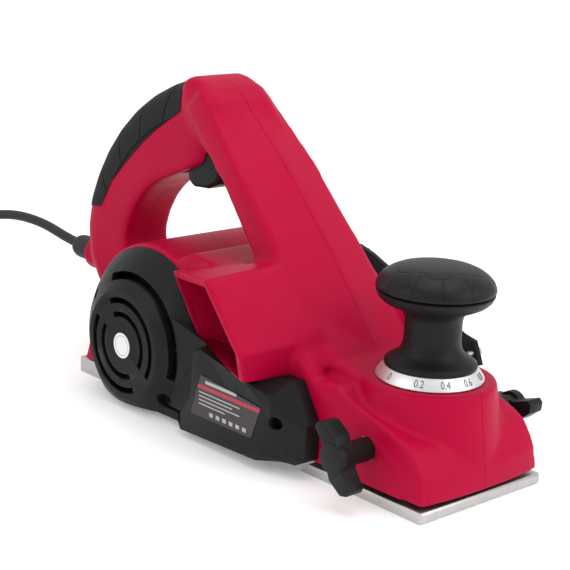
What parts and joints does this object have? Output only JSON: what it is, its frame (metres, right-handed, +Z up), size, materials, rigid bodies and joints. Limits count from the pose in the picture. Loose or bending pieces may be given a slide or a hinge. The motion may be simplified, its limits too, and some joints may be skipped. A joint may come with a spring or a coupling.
{
  "type": "electric hand planer",
  "caption": "Hand-held electric planer with a belt-driven cutter drum, loop handle with trigger, turning depth knob, side chip chute, dust port and fence clamps.",
  "frame": {"origin": "middle of the 290 mm sole, on the sole's plane", "axes": "+X the way the tool planes, +Y the tool's left side, +Z up"},
  "size_m": [0.4928, 0.2562, 0.1915],
  "materials": {
    "red_shell": "fine satin moulded nylon, crimson",
    "grip_rubber": "soft overmoulded rubber with tread lines",
    "black_plastic": "fine texture black moulding",
    "machined_aluminium": "fine machined, along the sole",
    "steel": "ground steel",
    "drum_alloy": "turned alloy",
    "belt_rubber": "ribbed belt",
    "copper": "enamelled copper wire and laminations",
    "carbon": "pressed carbon",
    "brass": "turned brass",
    "dial_silver": "satin silver dial with engraved numbers",
    "label_print": "printed foil label",
    "white_sticker": "white foil sticker",
    "cord_jacket": "rubber sheathed mains lead"
  },
  "bodies": {
    "root": {"adapter_screws": "steel", "air_baffle": "black_plastic", "base_casting": "machined_aluminium", "base_screws": "steel", "belt_cover": "black_plastic", "brush_holders": "black_plastic", "brush_springs": "steel", "capacitor": "black_plastic", "carbon_brushes": "carbon", "chip_divider": "black_plastic", "cord_clamp": "black_plastic", "cord_sleeve": "cord_jacket", "cover_screws": "steel", "cover_sticker": "white_sticker", "drive_belt": "belt_rubber", "drum_bearing_left": "steel", "drum_bearing_right": "steel", "dust_adapter": "black_plastic", "field_coils": "copper", "grip_left": "grip_rubber", "grip_right": "grip_rubber", "housing_left": "red_shell", "housing_right": "red_shell", "housing_screws": "steel", "lead_coil": "cord_jacket", "lead_tail": "cord_jacket", "mains_lead": "cord_jacket", "motor_bearing_front": "steel", "motor_bearing_rear": "steel", "motor_bracket": "black_plastic", "plug_body": "cord_jacket", "plug_pins": "brass", "rating_label": "label_print", "shoe_spring": "steel", "stator_core": "steel", "threaded_inserts": "brass", "trigger_pin": "black_plastic", "trigger_switch": "black_plastic"},
    "shoe": {"front_shoe": "machined_aluminium"},
    "drum": {"cutter_drum": "drum_alloy", "drum_shaft": "steel", "planer_blades": "steel", "blade_clamps": "drum_alloy", "blade_clamp_screws": "steel", "drum_pulley": "drum_alloy"},
    "motor": {"motor_shaft": "steel", "armature": "copper", "commutator": "copper", "cooling_fan": "black_plastic", "fan_blades": "black_plastic", "motor_pulley": "drum_alloy"},
    "knob": {"depth_spindle": "steel", "depth_knob": "black_plastic", "knob_cap": "black_plastic", "depth_dial": "dial_silver", "knob_screw": "steel"},
    "trigger": {"trigger": "black_plastic"},
    "lock_button": {"lock_button": "black_plastic"},
    "bolt_right": {"wing_bolt_right": "black_plastic"},
    "bolt_left": {"wing_bolt_left": "black_plastic"}
  },
  "joints": [
    {"name": "shoe_depth", "type": "slide", "parent": "root", "child": "shoe", "axis": [0, 0, 1], "range_m": [0, 0.002], "deforming": ["shoe_spring"]},
    {"name": "depth_knob_turn", "type": "hinge", "parent": "root", "child": "knob", "pos_m": [0.1031, 0, 0.06], "axis": [0, 0, -1], "range_deg": [0, 300]},
    {"name": "drum_spin", "type": "hinge", "parent": "root", "child": "drum", "pos_m": [0.04, 0, 0.0245], "axis": [0, 1, 0], "continuous": true},
    {"name": "motor_spin", "type": "hinge", "parent": "root", "child": "motor", "pos_m": [-0.0755, 0, 0.0383], "axis": [0, 1, 0], "continuous": true},
    {"name": "trigger_squeeze", "type": "hinge", "parent": "root", "child": "trigger", "pos_m": [-0.0635, 0, 0.149], "axis": [0, 1, 0], "range_deg": [0, 8], "stiffness_Nm_per_rad": 0.6, "springref_deg": -2.86},
    {"name": "lock_press", "type": "slide", "parent": "root", "child": "lock_button", "axis": [0, -1, 0], "range_m": [0, 0.003], "stiffness_N_per_m": 600, "springref_m": -0.001},
    {"name": "right_bolt_turn", "type": "hinge", "parent": "root", "child": "bolt_right", "pos_m": [0.105, -0.06, 0.028], "axis": [0, 1, 0], "continuous": true},
    {"name": "left_bolt_turn", "type": "hinge", "parent": "root", "child": "bolt_left", "pos_m": [0.105, 0.06, 0.028], "axis": [0, 1, 0], "continuous": true}
  ],
  "couplings": [
    {"joint": "depth_knob_turn", "follows": "shoe_depth", "rad_per_m": 2618},
    {"joint": "motor_spin", "follows": "drum_spin", "ratio": 1.6}
  ]
}
